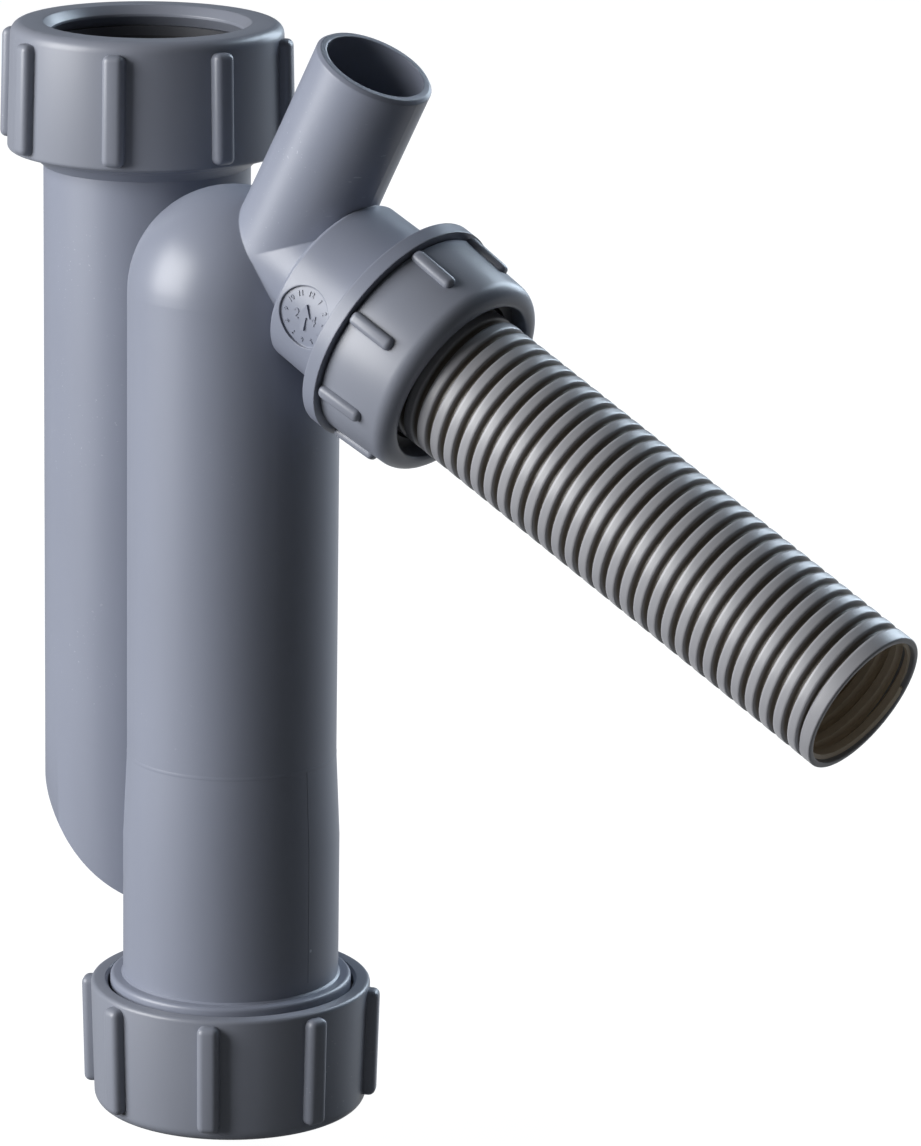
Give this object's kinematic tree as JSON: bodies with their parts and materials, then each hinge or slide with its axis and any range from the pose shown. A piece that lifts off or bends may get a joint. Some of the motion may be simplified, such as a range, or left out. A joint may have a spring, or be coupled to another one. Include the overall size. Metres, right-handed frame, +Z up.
{
  "type": "waste trap",
  "caption": "U-shaped plastic waste trap with a compression nut inlet, a cleanout foot, an appliance nozzle and a corrugated outlet hose held by a compression nut.",
  "frame": {"origin": "centre of the foot, on the surface that the trap stands on, under the front limb's axis", "axes": "+Z up along both limbs, +Y from the front limb to the rear limb, +X to the side that the branch turns to"},
  "size_m": [0.1165, 0.2264, 0.2319],
  "materials": {
    "body": "satin moulded polypropylene",
    "nut": "satin moulded polypropylene",
    "seal": "matte black rubber",
    "hose": "satin extruded plastic"
  },
  "bodies": {
    "trap": {"rear_limb": "body", "front_limb": "body", "trap_foot": "body", "inlet_cone_seal": "seal", "cleanout_gasket": "seal", "hose_seal": "seal", "drain_hose": "hose"},
    "inlet_ring": {"inlet_slip_ring": "nut"},
    "inlet_nut": {"inlet_nut": "nut"},
    "plug": {"cleanout_plug": "nut"},
    "cleanout_nut": {"cleanout_nut": "nut"},
    "hose_ring": {"hose_slip_ring": "nut"},
    "hose_nut": {"hose_nut": "nut"}
  },
  "joints": [
    {"name": "inlet_ring_lift", "type": "slide", "parent": "trap", "child": "inlet_ring", "axis": [0, 0, 1], "range_m": [0, 0.01205]},
    {"name": "inlet_nut_turn", "type": "hinge", "parent": "inlet_ring", "child": "inlet_nut", "pos_m": [0, 0.046, 0.2111], "axis": [0, 0, 1], "range_deg": [0, 1080]},
    {"name": "plug_drop", "type": "slide", "parent": "trap", "child": "plug", "axis": [0, 0, -1], "range_m": [0, 0.01205]},
    {"name": "cleanout_nut_turn", "type": "hinge", "parent": "plug", "child": "cleanout_nut", "pos_m": [0, 0, 0.0135], "axis": [0, 0, -1], "range_deg": [0, 1080]},
    {"name": "hose_ring_slide", "type": "slide", "parent": "trap", "child": "hose_ring", "axis": [0.4063, -0.7974, -0.4462], "range_m": [0, 0.01205]},
    {"name": "hose_nut_turn", "type": "hinge", "parent": "hose_ring", "child": "hose_nut", "pos_m": [0.02365, -0.04641, 0.16843], "axis": [0.4063, -0.7974, -0.4462], "range_deg": [0, 1080]}
  ],
  "couplings": [
    {"joint": "inlet_ring_lift", "follows": "inlet_nut_turn", "m_per_rad": 0.00063662},
    {"joint": "plug_drop", "follows": "cleanout_nut_turn", "m_per_rad": 0.00063662},
    {"joint": "hose_ring_slide", "follows": "hose_nut_turn", "m_per_rad": 0.00063662}
  ]
}
